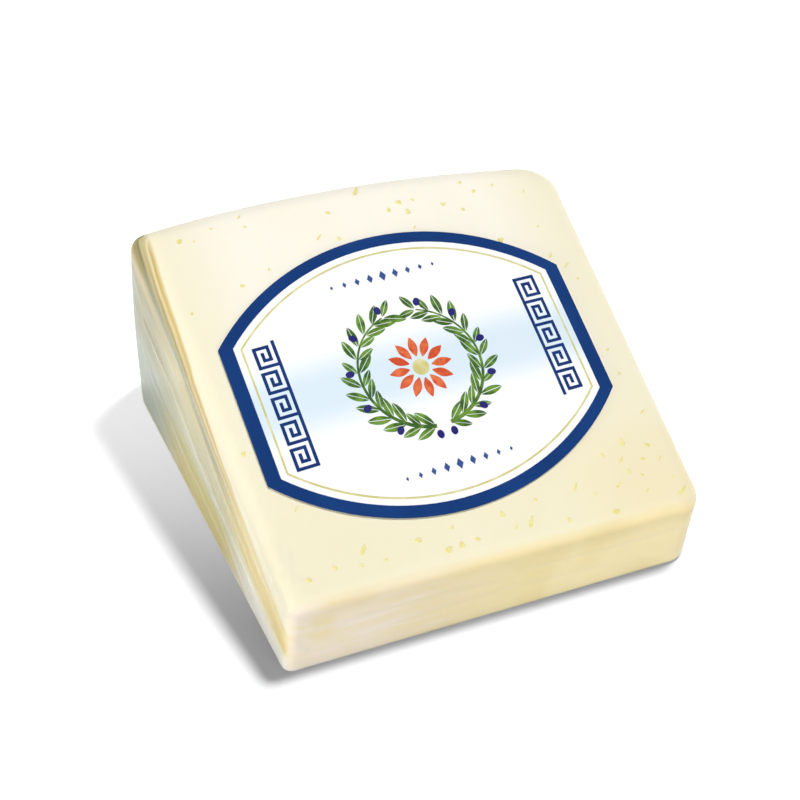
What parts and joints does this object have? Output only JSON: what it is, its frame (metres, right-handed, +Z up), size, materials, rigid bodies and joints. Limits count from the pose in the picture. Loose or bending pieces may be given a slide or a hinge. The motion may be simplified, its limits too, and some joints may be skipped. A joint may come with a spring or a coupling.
{
  "type": "kefalotyri cheese",
  "caption": "Wedge-shaped portion of a hard cheese wheel, sealed in clear shrink film, lying on one cut face with a paper label on its sloping upper face.",
  "frame": {"origin": "middle of the underside: the centre of the bottom of the bounding box", "axes": "+Z up; +Y from the thin cut-off tip to the thick rim; +X to the right as seen from the tip"},
  "size_m": [0.1066, 0.1024, 0.0515],
  "materials": {
    "film": "clear shrink film, smooth and glossy, milky in its folds",
    "cheese": "pale yellow hard cheese, smooth cut face with small eyes and slits",
    "label_paper": "white coated paper with a dark blue border and plain printed ornament"
  },
  "bodies": {
    "root": {"cheese_pack": "film", "label": "label_paper"}
  },
  "joints": []
}
